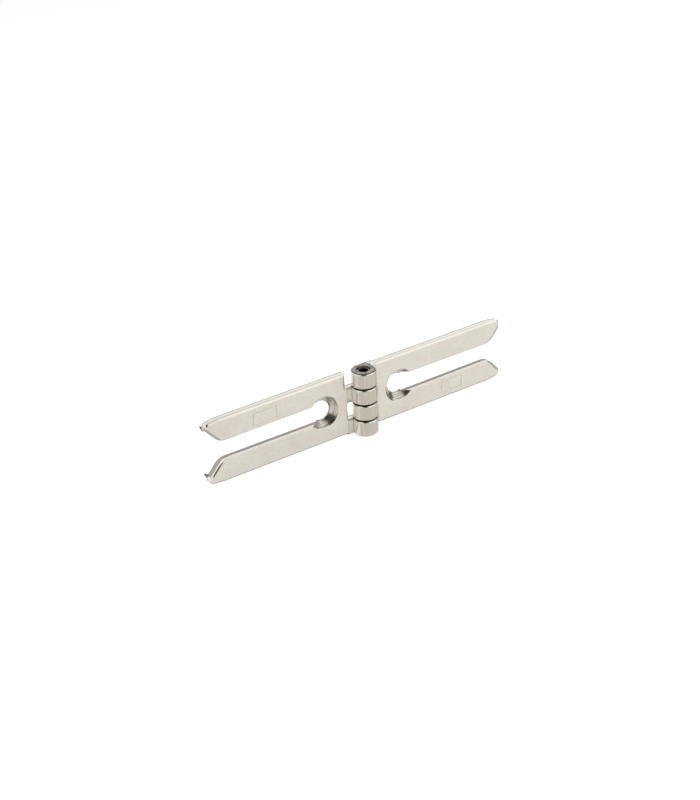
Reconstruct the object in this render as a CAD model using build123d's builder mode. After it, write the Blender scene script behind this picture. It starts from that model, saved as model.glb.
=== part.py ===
"""Strap hinge connector: two forked, barbed leaves on one hollow pin, opened flat.

The pin stands upright on the Z axis with the barrel's lower end at z = 0. The leaves reach out along X, and
their front faces look towards -Y. Both leaves are the same stamping, the left one turned half a turn in its
plane. All sizes are in millimetres.
"""

import os
from math import tan, radians

from build123d import *

# Leaf: the flat plate
leaf_height = 20.0
leaf_thickness = 2.2
leaf_reach = 51.65
front_edge_rounding = 1.1
back_edge_chamfer = 0.25
slot_edge_rounding = 0.15
root_corner_rounding = 0.7

# Barrel: four knuckles, two on each leaf, standing a little proud of the plate at the ends and at the back
barrel_radius = 3.7
knuckle_proud = 0.2
knuckle_set_back = 0.33
knuckle_count = 4
knuckle_gap = 0.15
knuckle_rim_chamfer = 0.42
tail_length = 1.5
tail_step_length = 0.5
notch_depth = 0.2
seam_width = 0.12

# Pin: a hollow tube, tight in the left leaf's knuckles and running in the right leaf's
pin_radius = 1.95
pin_wall = 0.7
pin_recess = 0.4
pin_edge_chamfer = 0.25
running_clearance = 0.05

# Countersunk screw hole at the root of the fork
screw_distance = 13.35
screw_radius = 2.65
screw_head_radius = 5.15
countersink_angle = 90.0
throat_length = 1.6

# Fork: the slot between the prongs, its flared mouth and the prong tips
slot_root_width = 6.15
slot_mouth_width = 5.85
mouth_flare_length = 4.15
mouth_flare_radius = 4.5
tip_nose_length = 1.85
tip_taper_length = 4.45
tip_taper_drop = 0.55
tip_taper_radius = 6.0
tip_corner_radius = 1.3

# Barbs on the backs of the prong tips, cut off flush with the prongs' ends
barb_inset = 0.35
barb_edge_distance = 2.5
barb_base_radius = 0.65
barb_point_radius = 0.15
barb_height = 1.6

# Shallow plain panel pressed into the front of one prong
panel_distance = 32.7
panel_length = 7.6
panel_height = 3.6
panel_depth = 0.12

# Places that follow from the sizes above
barrel_length = leaf_height + 2 * knuckle_proud
mid_height = barrel_length / 2
knuckle_pitch = (barrel_length + knuckle_gap) / knuckle_count
knuckle_length = knuckle_pitch - knuckle_gap
own_levels = (1, 3)
other_levels = (0, 2)
back_y = barrel_radius - knuckle_set_back
front_y = back_y - leaf_thickness
root_reach = barrel_radius + tail_length
head_depth = screw_head_radius / tan(radians(countersink_angle / 2))
throat_end = screw_distance + throat_length
tip_shoulder_height = leaf_height / 2 - tip_taper_drop
nose_bottom_height = tip_shoulder_height - tip_nose_length
barb_offset = leaf_height / 2 - barb_edge_distance
panel_offset = (leaf_height / 2 - front_edge_rounding + slot_root_width / 2) / 2

# The leaf's front and back faces, both as seen from the front: x along the leaf, y up from mid-height
leaf_front = Plane(origin=(0, front_y, mid_height), x_dir=(1, 0, 0), z_dir=(0, -1, 0))
leaf_back = leaf_front.offset(-leaf_thickness)
behind_plane = (Align.CENTER, Align.CENTER, Align.MAX)
half_turn = Axis((0, 0, mid_height), (0, 1, 0))


def prong_outline():
    """The upper half of the plate's outline, from its root round the prong and back to the screw hole."""
    with BuildLine() as outline:
        edge = FilletPolyline(
            (root_reach, 0),
            (root_reach, leaf_height / 2),
            (leaf_reach - tip_taper_length, leaf_height / 2),
            (leaf_reach, tip_shoulder_height),
            (leaf_reach, nose_bottom_height),
            (leaf_reach - mouth_flare_length, slot_mouth_width / 2),
            (throat_end, slot_root_width / 2),
            (throat_end, screw_radius),
            (screw_distance, screw_radius),
            radius=[0, tip_taper_radius, tip_corner_radius, 0, mouth_flare_radius, 0, 0],
        )
        RadiusArc(edge @ 1, (screw_distance - screw_radius, 0), -screw_radius)
        Line((screw_distance - screw_radius, 0), (root_reach, 0))
    return outline.line


def long_edges(rim):
    """The two long outer edges of a face's rim; what is cut along them runs on around the prong tips."""
    return rim.filter_by(Axis.X).filter_by(lambda edge: edge.length > screw_distance)


def fork_edges(rim):
    """The edges of a face's rim along the slot and its flared mouth."""
    return rim.filter_by(
        lambda edge: abs((edge @ 0.5).Z - mid_height) < nose_bottom_height
        and (edge @ 0.5).X > screw_distance and edge.length > slot_root_width
    )


def leaf_plate():
    """The flat forked plate with its rounded edges, notched at the root beside the other leaf's knuckles."""
    with BuildPart() as plate:
        with BuildSketch(leaf_front) as outline:
            add(prong_outline())
            make_face()
            mirror(about=Plane.XZ)
            for level in other_levels:
                with Locations((root_reach, level * knuckle_pitch - knuckle_gap - mid_height)):
                    Rectangle(notch_depth, knuckle_pitch + knuckle_gap, align=Align.MIN, mode=Mode.SUBTRACT)
            root_corner = outline.vertices().sort_by_distance((root_reach + notch_depth, -leaf_height / 2))[0]
            fillet(root_corner, root_corner_rounding)
        extrude(amount=-leaf_thickness)
        fillet(long_edges(plate.faces().sort_by(Axis.Y)[0].edges()), front_edge_rounding)
        chamfer(long_edges(plate.faces().sort_by(Axis.Y)[-1].edges()), back_edge_chamfer)
        fillet(fork_edges(plate.faces().sort_by(Axis.Y)[0].edges()), slot_edge_rounding)
    return plate.part


def leaf_knuckle(level):
    """One rolled knuckle: a round barrel whose flat tail steps down to the plate's back."""
    with BuildPart() as knuckle:
        with BuildSketch(Plane.XY.offset(level * knuckle_pitch)):
            Circle(barrel_radius)
            with BuildLine():
                Polyline(
                    (0, front_y),
                    (root_reach, front_y),
                    (root_reach, back_y),
                    (root_reach - tail_step_length, barrel_radius),
                    (0, barrel_radius),
                    close=True,
                )
            make_face()
        extrude(amount=knuckle_length)
        for end in (0, -1):
            rim = knuckle.faces().sort_by(Axis.Z)[end].edges()
            chamfer(rim.filter_by(Axis.Y, reverse=True), knuckle_rim_chamfer)
    return knuckle.part


def leaf_stamping(bore_radius):
    """One leaf with its knuckles first and third from the top, as it stands to the right of the pin."""
    with BuildPart() as stamping:
        add(leaf_plate())
        for level in own_levels:
            add(leaf_knuckle(level))

        # The countersink, widest at the front face, and the barbs behind the prong tips
        with Locations(leaf_front):
            with Locations((screw_distance, 0)):
                Cone(0, screw_head_radius, head_depth, align=behind_plane, mode=Mode.SUBTRACT)
        with Locations(leaf_back.offset(back_edge_chamfer)):
            with Locations((leaf_reach - barb_inset, -barb_offset), (leaf_reach - barb_inset, barb_offset)):
                Cone(barb_point_radius, barb_base_radius, barb_height + back_edge_chamfer, align=behind_plane)
            with Locations((leaf_reach + barb_base_radius, 0)):
                Box(2 * barb_base_radius, leaf_height, 2 * (barb_height + back_edge_chamfer), mode=Mode.SUBTRACT)

        # The plain panel in the front of the lower prong
        with BuildSketch(leaf_front):
            with Locations((panel_distance, -panel_offset)):
                Rectangle(panel_length, panel_height)
        extrude(amount=-panel_depth, mode=Mode.SUBTRACT)

        # The pin's bore, and the seam where the roll's end meets the front of the plate
        with BuildSketch():
            Circle(bore_radius)
            with Locations((0, front_y)):
                Rectangle(barrel_radius, seam_width, align=(Align.MIN, Align.MAX))
        extrude(amount=barrel_length, mode=Mode.SUBTRACT)
    return stamping.part


os.makedirs("parts", exist_ok=True)

with BuildPart() as right_leaf:
    add(leaf_stamping(pin_radius + running_clearance))
right_leaf.part.label = "right_leaf"
export_step(right_leaf.part, "parts/right_leaf.step")

with BuildPart() as left_leaf:
    add(leaf_stamping(pin_radius).rotate(half_turn, 180))
left_leaf.part.label = "left_leaf"
export_step(left_leaf.part, "parts/left_leaf.step")

# The hollow pin, sunk a little below the barrel's ends
with BuildPart() as hinge_pin:
    with BuildSketch(Plane.XY.offset(pin_recess)):
        Circle(pin_radius)
        Circle(pin_radius - pin_wall, mode=Mode.SUBTRACT)
    extrude(amount=barrel_length - 2 * pin_recess)
    chamfer(hinge_pin.edges().filter_by(GeomType.CIRCLE), pin_edge_chamfer)
hinge_pin.part.label = "hinge_pin"
export_step(hinge_pin.part, "parts/hinge_pin.step")
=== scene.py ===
import math

import bpy
from mathutils import Matrix, Vector

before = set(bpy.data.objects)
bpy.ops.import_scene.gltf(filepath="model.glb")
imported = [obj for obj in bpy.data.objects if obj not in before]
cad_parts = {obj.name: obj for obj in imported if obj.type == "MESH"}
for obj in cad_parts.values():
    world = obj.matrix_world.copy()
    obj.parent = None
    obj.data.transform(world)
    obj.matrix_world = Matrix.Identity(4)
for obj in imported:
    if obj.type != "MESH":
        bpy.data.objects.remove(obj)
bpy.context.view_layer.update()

MM = 0.001

# The two leaf stampings: nickel-plated steel, satin on the faces and the rolled knuckles. The blank's sheared
# edge shows in the slot and its mouth (a bright cut strip at the front, torn grey metal behind it) and at the
# knuckles' ends, and the countersink keeps its tool marks. The pattern follows each leaf's own coordinates.
# Painted shade darkens the rolled knuckles, the gaps between them, the root bend and the panel's outline. A painted
# dark reflection runs along the back of every edge, and a painted highlight brightens the knuckles' rims.
MID_HEIGHT = 10.2 * MM
LEAF_FRONT = 1.17 * MM
LEAF_BACK = 3.37 * MM
ROOT_BEND = 5.2 * MM
SCREW_DISTANCE = 13.35 * MM
SCREW_HEAD_RADIUS = 5.15 * MM
SLOT_START = 14.9 * MM
FORK_END = 51.3 * MM
FORK_HALF_WIDTH = 7.9 * MM
MOUTH_START = (47.5 * MM, 2.925 * MM)
MOUTH_END = (51.65 * MM, 7.6 * MM)
BARREL_RADIUS = 3.7 * MM
KNUCKLE_PITCH = 5.1375 * MM
KNUCKLE_GAP = 0.15 * MM
PANEL_PLACE = (32.7 * MM, -5.99 * MM)
PANEL_HALF_SIZE = (3.8 * MM, 1.8 * MM)

# Widths of what the finish, the painted shade and the painted highlight draw. A knuckle's end, the painted shade in its
# gap and the painted highlight on its rim are shares of the knuckle pitch.
CUT_STRIP = 0.95 * MM
RAGGED_DEPTH = 0.4 * MM
MOUTH_LOSS = 0.5 * MM
MOUTH_BEVEL = 0.75 * MM
EDGE_SOFTNESS = 0.45 * MM
PAINTED_BACK_STRIP = 0.62 * MM
BEND_SHADE_HALF_WIDTH = 0.16 * MM
CREASE_SHADE_HALF_WIDTH = 0.14 * MM
END_SHARE = 0.022
GAP_SHADE_SHARE = 0.058
RIM_HIGHLIGHT_SHARE = 0.105

# Scales of the noises, in cells for each metre, or for each radian round the countersink
RAGGED_CELLS = 900.0
DRAWN_CELLS = 1700.0
GRAIN_CELLS = 2600.0
SPECKLE_CELLS = 1300.0
CLOUD_CELLS = 110.0
MARK_CELLS_ACROSS = 4200.0
MARK_CELLS_ROUND = 1.3

NICKEL = (0.808, 0.765, 0.678, 1.0)
NICKEL_DARK = (0.606, 0.565, 0.485, 1.0)
CUT_METAL_AND_HIGHLIGHT = (0.860, 0.835, 0.775, 1.0)
TURNED_METAL = (0.600, 0.560, 0.485, 1.0)
ROLLED_PAINTED_SHADE = (0.562, 0.508, 0.420, 1.0)
TORN_METAL_AND_SHADE = (0.420, 0.395, 0.345, 1.0)
GAP_PAINTED_SHADE = (0.012, 0.012, 0.010, 1.0)
TOOL_MARK = (0.110, 0.105, 0.090, 1.0)

# Roughness of the satin faces, and how much each other surface is rougher or smoother than they are
SATIN = 0.34
GRAIN_ROUGHER = 0.08
TORN_ROUGHER = 0.22
END_ROUGHER = 0.15
ROLLED_SMOOTHER = 0.14
CONE_SMOOTHER = 0.12
EDGE_SMOOTHER = 0.2
BUMP_STRENGTH = 0.25
BUMP_DISTANCE = 0.02 * MM


class Signal:
    """One socket of a material's nodes. Arithmetic on signals adds Math nodes; numbers may stand on either side."""

    def __init__(self, tree, socket=None):
        self.tree = tree
        self.socket = socket

    def node(self, kind, settings=None, inputs=None, output=0):
        """Add any other node: its settings first, then the values or links of its sockets."""
        made = self.tree.nodes.new(kind)
        for name, value in (settings or {}).items():
            setattr(made, name, value)
        for name, value in (inputs or {}).items():
            if isinstance(value, Signal):
                self.tree.links.new(value.socket, made.inputs[name])
            else:
                made.inputs[name].default_value = value
        return Signal(self.tree, None if output is None else made.outputs[output])

    def axes(self):
        """The three parts of a vector."""
        split = self.node("ShaderNodeSeparateXYZ", None, {"Vector": self}).socket.node
        return [Signal(self.tree, socket) for socket in split.outputs]

    def math(self, operation, *others):
        """A Math node's result, with this signal as the first of its values."""
        return self.node("ShaderNodeMath", {"operation": operation}, dict(enumerate((self, *others))))

    def __add__(self, other):
        return self.math("ADD", other)

    def __sub__(self, other):
        return self.math("SUBTRACT", other)

    def __rsub__(self, other):
        return self.node("ShaderNodeMath", {"operation": "SUBTRACT"}, {0: other, 1: self})

    def __mul__(self, other):
        return self.math("MULTIPLY", other)

    __radd__ = __add__
    __rmul__ = __mul__

    def above(self, edge, softness):
        """0 below the edge, 1 above it, with a soft step between."""
        return self.node("ShaderNodeMapRange", {"interpolation_type": "SMOOTHSTEP"},
                         {"Value": self, "From Min": edge - softness, "From Max": edge + softness})

    def noise(self, point, scale, detail=2.0, stretch=(1.0, 1.0, 1.0)):
        """Noise of the given scale, stretched along the axes."""
        placed = self.node("ShaderNodeMapping", None, {"Vector": point, "Scale": stretch})
        return self.node("ShaderNodeTexNoise", None, {"Vector": placed, "Scale": scale, "Detail": detail})

    def blend(self, factor, first, second):
        """A colour, or a direction, between two others."""
        names = {"Factor": factor, 6: first, 7: second}
        return self.node("ShaderNodeMix", {"data_type": "RGBA"}, names, output=2)


def plain_material(name):
    """A new material without nodes, and the signal that starts its nodes."""
    material = bpy.data.materials.new(name)
    material.use_nodes = True
    material.node_tree.nodes.clear()
    return material, Signal(material.node_tree)


def surface(bench, shader, kind="ShaderNodeOutputMaterial"):
    """Send a shader to its material's or, with the other kind of output, its world's surface."""
    bench.node(kind, None, {"Surface": shader}, output=None)


def distance_from_line(first, second):
    """How far a point is from the line where both coordinates are zero."""
    return (first * first + second * second).math("SQRT")


def nickel_leaf(name, side):
    """Satin nickel for one leaf; side is -1 on the left leaf, which is turned half a turn, and 1 on the right one."""
    material, bench = plain_material(name)
    point = bench.node("ShaderNodeTexCoord", output=3)
    facing = bench.node("ShaderNodeTexCoord", output=1).axes()[1]
    across, depth, height = point.axes()
    along_pin = height + KNUCKLE_GAP / 2
    across = across * side
    height = (height - MID_HEIGHT) * side
    from_middle = height.math("ABSOLUTE")

    # The sheared edge in the fork, its torn half behind the cut strip, and a painted dark reflection along the back of
    # every edge
    ragged = bench.noise(point, RAGGED_CELLS)
    wall = 1 - facing.math("ABSOLUTE").above(0.45, 0.1)
    in_fork = across.above(SLOT_START, 0.1 * MM)
    within = in_fork * (1 - across.above(FORK_END, 0.1 * MM))
    in_slot = wall * within * (1 - from_middle.above(FORK_HALF_WIDTH, 0.05 * MM))
    torn_from = depth + ragged * RAGGED_DEPTH + across.above(MOUTH_START[0], 1.0 * MM) * MOUTH_LOSS
    torn = in_slot * torn_from.above(LEAF_FRONT + CUT_STRIP + RAGGED_DEPTH / 2, 0.12 * MM)
    painted_back_reflection = wall * depth.above(LEAF_BACK - PAINTED_BACK_STRIP, 0.06 * MM)
    barb = depth.above(LEAF_BACK + 0.1 * MM, 0.05 * MM) * in_fork

    # Every edge is softened by tumbling, and polished there
    tumbled = bench.node("ShaderNodeBevel", {"samples": 8}, {"Radius": EDGE_SOFTNESS})
    own_way = {"vector_type": "NORMAL", "convert_from": "WORLD", "convert_to": "OBJECT"}
    turned = bench.node("ShaderNodeVectorTransform", own_way, {"Vector": tumbled}).axes()[1].math("ABSOLUTE")
    polished = turned.above(0.2, 0.1) * (1 - turned.above(0.94, 0.04)) * across.above(ROOT_BEND, 0.2 * MM)

    # The flared mouth's edges, front and back, dressed to a slope
    slant = math.hypot(MOUTH_END[0] - MOUTH_START[0], MOUTH_END[1] - MOUTH_START[1])
    out_x = (MOUTH_END[1] - MOUTH_START[1]) / slant
    out_z = (MOUTH_START[0] - MOUTH_END[0]) / slant
    inward = (MOUTH_START[0] * out_x + MOUTH_START[1] * out_z) - (across * out_x + from_middle * out_z)
    fall = (inward - MOUTH_BEVEL).math("MINIMUM", 0.0)
    dressed = (1 - inward.above(MOUTH_BEVEL, 0.05 * MM)) * across.above(MOUTH_START[0] - 2.0 * MM, 1.0 * MM)

    # The knuckles: drawn marks along the pin, grey sheared ends, painted shade in the gaps and a painted highlight on
    # the rim beside them
    rolled = 1 - distance_from_line(across, depth).above(BARREL_RADIUS + 0.05 * MM, 0.03 * MM)
    share = (along_pin * (1 / KNUCKLE_PITCH)).math("FRACT") - 0.5
    from_gap = 0.5 - share.math("ABSOLUTE")
    end = rolled * (1 - from_gap.above(END_SHARE, 0.004))
    painted_gap_shade = rolled * (1 - from_gap.above(GAP_SHADE_SHARE, 0.010))
    painted_rim_highlight = rolled * (1 - from_gap.above(RIM_HIGHLIGHT_SHARE, 0.015))
    drawn = bench.noise(point, DRAWN_CELLS, 2.0, (1.0, 1.0, 0.04))
    # A line of painted shade where the leaf bends into its knuckles
    painted_bend_shade = 1 - (across - ROOT_BEND).math("ABSOLUTE").above(BEND_SHADE_HALF_WIDTH, 0.08 * MM)

    # The countersink, with the tool's marks running round it
    run = across - SCREW_DISTANCE
    radius = distance_from_line(run, height)
    turn = height.math("ARCTAN2", run)
    sunk = depth.above(LEAF_FRONT + 0.12 * MM, 0.06 * MM) * (1 - depth.above(LEAF_BACK - 0.08 * MM, 0.04 * MM))
    in_cone = sunk * (1 - radius.above(SCREW_HEAD_RADIUS + 0.1 * MM, 0.05 * MM)) * (1 - wall)
    around = bench.node("ShaderNodeCombineXYZ", None, {"X": turn * MARK_CELLS_ROUND, "Y": radius * MARK_CELLS_ACROSS})
    scratch = bench.noise(around, 1.0, 3.0)
    marks = in_cone * scratch.above(0.56, 0.04)

    # The pressed outline of the plain panel, drawn as a line of painted shade
    past_end = (across - PANEL_PLACE[0]).math("ABSOLUTE") - PANEL_HALF_SIZE[0]
    past_side = (height - PANEL_PLACE[1]).math("ABSOLUTE") - PANEL_HALF_SIZE[1]
    outside = past_end.math("MAXIMUM", past_side)
    painted_crease_shade = 1 - outside.math("ABSOLUTE").above(CREASE_SHADE_HALF_WIDTH, 0.08 * MM)
    painted_crease_shade = painted_crease_shade * (1 - depth.above(LEAF_FRONT + 0.3 * MM, 0.1 * MM))

    # The colours, from the satin nickel to the darkest marks and painted shade, each laid over the ones before it
    grain = bench.noise(point, GRAIN_CELLS, 3.0)
    speckle = bench.noise(point, SPECKLE_CELLS)
    cloud = bench.noise(point, CLOUD_CELLS, 3.0)
    colour = bench.blend(cloud.above(0.5, 0.3) * 0.25, NICKEL, NICKEL_DARK)
    for amount, tint in (
        (speckle.above(0.52, 0.2) * 0.22, NICKEL_DARK),
        # The knuckles are coloured darker than the faces as painted shade, streaked by the drawn grain
        (rolled * (0.75 + drawn.above(0.5, 0.15) * 0.25), ROLLED_PAINTED_SHADE),
        # The sheared walls' cut-metal colour, and a painted highlight on the knuckles' rims
        (wall + painted_rim_highlight, CUT_METAL_AND_HIGHLIGHT),
        (in_cone, TURNED_METAL),
        # The torn strip in the slot, with painted shade on the panel's crease and at the root bend, and a painted dark
        # reflection along the back of every edge
        (torn + painted_crease_shade * 0.35 + painted_back_reflection + painted_bend_shade * 0.45, TORN_METAL_AND_SHADE),
        # Painted shade in the gaps between the knuckles
        (painted_gap_shade, GAP_PAINTED_SHADE),
        (end, TORN_METAL_AND_SHADE),
        (barb + marks * 0.8 + end * ragged.above(0.5, 0.1) * 0.7, TOOL_MARK),
    ):
        colour = bench.blend(amount, colour, tint)

    smooth = (polished * (1 - in_cone)).math("MAXIMUM", dressed)
    rougher = grain * GRAIN_ROUGHER + torn * TORN_ROUGHER + end * END_ROUGHER
    smoother = rolled * ROLLED_SMOOTHER + in_cone * CONE_SMOOTHER + smooth * EDGE_SMOOTHER
    rise = grain + (torn + end) * ragged * 2.0 + in_cone * scratch * 3.0
    true_normal = bench.node("ShaderNodeNewGeometry", output=3)
    sloped = bench.node("ShaderNodeBump", None, {"Strength": 1.0, "Distance": 1.0, "Height": fall * dressed,
                                                "Normal": bench.blend(dressed, tumbled, true_normal)})
    bump = bench.node("ShaderNodeBump", None, {"Strength": BUMP_STRENGTH, "Distance": BUMP_DISTANCE, "Height": rise,
                                              "Normal": sloped})
    surface(bench, bench.node("ShaderNodeBsdfPrincipled", None,
                              {"Base Color": colour, "Roughness": SATIN + rougher - smoother, "Metallic": 1.0,
                               "Normal": bump}))
    return material


def dress(node, material):
    """Give a CAD node's object its one material."""
    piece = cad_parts[node]
    piece.data.materials.clear()
    piece.data.materials.append(material)


dress("left_leaf", nickel_leaf("left_leaf_nickel", -1))
dress("right_leaf", nickel_leaf("right_leaf_nickel", 1))

# The hinge pin: a hollow tube of the same plated steel, drawn smooth and bare inside, sunk a little below the
# barrel's ends, with painted shade darkening its bore and its outer edge.
PIN_NICKEL = (0.700, 0.670, 0.610, 1.0)
PIN_PAINTED_SHADE = (0.030, 0.029, 0.026, 1.0)
PIN_RADIUS = 1.95 * MM
PIN_BORE_RADIUS = 1.25 * MM
PIN_GRAIN_CELLS = 1800.0
PIN_SATIN = 0.28
PIN_GRAIN_ROUGHER = 0.1
PIN_INSIDE_ROUGHER = 0.3
PIN_BUMP_STRENGTH = 0.2


def nickel_pin(name):
    """Drawn nickel-plated tube with a faint grain round it, dull in its bore and at its outer edge and dark there with
    painted shade.
    """
    material, bench = plain_material(name)
    point = bench.node("ShaderNodeTexCoord", output=3)
    across, depth, height = point.axes()
    radius = distance_from_line(across, depth)
    # The bore and the outer edge are coloured dark as painted shade, and made rougher
    bore = 1 - radius.above(PIN_BORE_RADIUS + 0.3 * MM, 0.06 * MM)
    dark = bore + radius.above(PIN_RADIUS - 0.2 * MM, 0.06 * MM)
    grain = bench.noise(point, PIN_GRAIN_CELLS, 3.0, (1.0, 1.0, 0.2))
    roughness = PIN_SATIN + grain * PIN_GRAIN_ROUGHER + dark * PIN_INSIDE_ROUGHER
    bump = bench.node("ShaderNodeBump", None,
                      {"Strength": PIN_BUMP_STRENGTH, "Distance": BUMP_DISTANCE, "Height": grain})
    surface(bench, bench.node("ShaderNodeBsdfPrincipled", None,
                              {"Base Color": bench.blend(dark, PIN_NICKEL, PIN_PAINTED_SHADE), "Roughness": roughness,
                               "Metallic": 1.0, "Normal": bump}))
    return material


dress("hinge_pin", nickel_pin("pin_nickel"))

# The camera, at the photograph's angle: a long lens, a little above the hinge and to its left, leaning slightly.
# The lens is the focal length in pixels of the photograph, whose longer side is its height.
PHOTO_HEIGHT = 800
FOCAL_PIXELS = 1467.6
SENSOR = 36.0
CAMERA_AZIMUTH = math.radians(-33.35)
CAMERA_ELEVATION = math.radians(28.335)
CAMERA_ROLL = math.radians(-3.037)
CAMERA_DISTANCE = 424.26 * MM
CAMERA_SHIFT_RIGHT = -4.27 * MM
CAMERA_SHIFT_UP = 0.08 * MM
CAMERA_CLIP_START = 10 * MM
HINGE_MIDDLE = Vector((0, 0, MID_HEIGHT))


def direction_to(azimuth, elevation):
    """The direction from the hinge to something at the given angles, from straight in front of it."""
    return Vector((math.sin(azimuth) * math.cos(elevation), -math.cos(azimuth) * math.cos(elevation),
                   math.sin(elevation)))


back = direction_to(CAMERA_AZIMUTH, CAMERA_ELEVATION)
level_right = Vector((0, 0, 1)).cross(back).normalized()
level_up = back.cross(level_right)
right = math.cos(CAMERA_ROLL) * level_right + math.sin(CAMERA_ROLL) * level_up
up = back.cross(right)
camera_data = bpy.data.cameras.new("camera")
camera_data.sensor_width = SENSOR
camera_data.lens = FOCAL_PIXELS / PHOTO_HEIGHT * SENSOR
camera_data.clip_start = CAMERA_CLIP_START
camera = bpy.data.objects.new("camera", camera_data)
bpy.context.scene.collection.objects.link(camera)
place = HINGE_MIDDLE + back * CAMERA_DISTANCE + right * CAMERA_SHIFT_RIGHT + up * CAMERA_SHIFT_UP
camera.matrix_world = Matrix.Translation(place) @ Matrix((right, up, back)).transposed().to_4x4()
bpy.context.scene.camera = camera
bpy.context.scene.view_settings.view_transform = "Standard"

# The studio: a plain white table and surround, large soft lamps above the front, two dark cards, where the camera
# stands and to the right, and a grey strip of painted shadow under the leaves, all three seen only by the metal. The
# table and fill lamps don't show in the metal.
FLOOR_HALF_SIZE = 1.0
TABLE_GREY = 0.88
SHADOW_GREY = 0.35
TABLE_GLOW_TO_METAL = 0.6
TABLE_GLOW_TO_CAMERA = 0.78
WORLD_LIGHT = 0.45
OVERHEAD_DIMMING = 0.3
SEEN_RAYS = ("Is Camera Ray", "Is Glossy Ray", "Is Transmission Ray")

CAMERA_CARD_DISTANCE = 300 * MM
CAMERA_CARD_WIDTH = (-120 * MM, 120 * MM)
CAMERA_CARD_HEIGHT = (-90 * MM, 280 * MM)
CAMERA_CARD_GREY = 0.03
PAINTED_SHADOW_LENGTH = (-51 * MM, 51 * MM)
PAINTED_SHADOW_WIDTH = (1.2 * MM, 4.0 * MM)
PAINTED_SHADOW_LEVEL = 0.02 * MM
PAINTED_SHADOW_GREY = 0.35
SIDE_CARD_DISTANCE = 260 * MM
SIDE_CARD_WIDTH = (-110 * MM, 110 * MM)
SIDE_CARD_HEIGHT = (1 * MM, 90 * MM)
SIDE_CARD_GREY = 0.05


def grey(value):
    """A colour of three equal parts."""
    return (value, value, value, 1.0)


def flat_piece(name, origin, along, rise, span, height, material):
    """An oblong of the studio, which isn't part of the hinge, with its limits along two directions from an origin."""
    mesh = bpy.data.meshes.new(name)
    corners = ((span[0], height[0]), (span[1], height[0]), (span[1], height[1]), (span[0], height[1]))
    mesh.from_pydata([origin + along * a + rise * b for a, b in corners], [], [(0, 1, 2, 3)])
    piece = bpy.data.objects.new(name, mesh)
    piece.data.materials.append(material)
    bpy.context.scene.collection.objects.link(piece)
    return piece


def light_path(bench, *names):
    """1 where a ray is of one of the named kinds, 0 elsewhere."""
    path = bench.node("ShaderNodeLightPath").socket.node
    kinds = [Signal(bench.tree, path.outputs[name]) for name in names]
    found = kinds[0]
    for kind in kinds[1:]:
        found = found.math("MAXIMUM", kind)
    return found


def table_white(name):
    """Matt white that keeps a soft shadow, a little greyer to the metal than to the camera."""
    material, bench = plain_material(name)
    lit = bench.node("ShaderNodeBsdfDiffuse", None, {"Color": grey(TABLE_GREY)})
    shadow_keeper = bench.node("ShaderNodeBsdfDiffuse", None, {"Color": grey(SHADOW_GREY)})
    own_light = bench.blend(light_path(bench, "Is Camera Ray"), grey(TABLE_GLOW_TO_METAL), grey(TABLE_GLOW_TO_CAMERA))
    glow = bench.node("ShaderNodeEmission", None, {"Color": own_light})
    white = bench.node("ShaderNodeAddShader", None, {0: shadow_keeper, 1: glow})
    surface(bench, bench.node("ShaderNodeMixShader", None, {0: light_path(bench, *SEEN_RAYS), 1: lit, 2: white}))
    return material


def metal_card(name, origin, along, rise, span, height, shade_name, shade):
    """An oblong card of one grey that only the metal sees."""
    material, bench = plain_material(shade_name)
    surface(bench, bench.node("ShaderNodeEmission", None, {"Color": grey(shade)}))
    card = flat_piece(name, origin, along, rise, span, height, material)
    card.visible_camera = False
    card.visible_diffuse = False
    card.visible_shadow = False


def soft_lamp(name, azimuth, elevation, distance, size, power):
    """A square lamp that looks at the hinge from the given direction, in degrees and metres."""
    data = bpy.data.lights.new(name, "AREA")
    data.size = size
    data.energy = power
    lamp = bpy.data.objects.new(name, data)
    bpy.context.scene.collection.objects.link(lamp)
    direction = direction_to(math.radians(azimuth), math.radians(elevation))
    lamp.location = direction * distance
    lamp.rotation_euler = direction.to_track_quat("Z", "Y").to_euler()
    return lamp


world = bpy.data.worlds.new("surround")
world.use_nodes = True
world.node_tree.nodes.clear()
bpy.context.scene.world = world
bench = Signal(world.node_tree)
overhead = bench.node("ShaderNodeTexCoord", output=0).axes()[2].above(0.80, 0.07)
strength = WORLD_LIGHT + light_path(bench, *SEEN_RAYS) * (1 - WORLD_LIGHT - OVERHEAD_DIMMING * overhead)
surface(bench, bench.node("ShaderNodeBackground", None, {"Color": grey(1.0), "Strength": strength}),
        "ShaderNodeOutputWorld")

floor_span = (-FLOOR_HALF_SIZE, FLOOR_HALF_SIZE)
x_way, y_way, z_way = Vector((1, 0, 0)), Vector((0, 1, 0)), Vector((0, 0, 1))
flat_piece("floor", Vector((0, 0, 0)), x_way, y_way, floor_span, floor_span, table_white("table_white"))
metal_card("camera_card", HINGE_MIDDLE + back * CAMERA_CARD_DISTANCE, right, up, CAMERA_CARD_WIDTH,
           CAMERA_CARD_HEIGHT, "card_black", CAMERA_CARD_GREY)
# A grey strip of painted shadow under the leaves, seen only by the metal
metal_card("painted_shadow_strip", z_way * PAINTED_SHADOW_LEVEL, x_way, y_way, PAINTED_SHADOW_LENGTH, PAINTED_SHADOW_WIDTH, "painted_shadow_grey", PAINTED_SHADOW_GREY)
metal_card("side_card", x_way * SIDE_CARD_DISTANCE, y_way, z_way, SIDE_CARD_WIDTH, SIDE_CARD_HEIGHT, "side_black",
           SIDE_CARD_GREY)

soft_lamp("key_lamp", 50, 46, 0.6, 0.7, 0.35)
soft_lamp("table_lamp", 60, 48, 0.55, 0.6, 2.4).visible_glossy = False
soft_lamp("fill_lamp", -75, 35, 0.7, 0.5, 0.8).visible_glossy = False
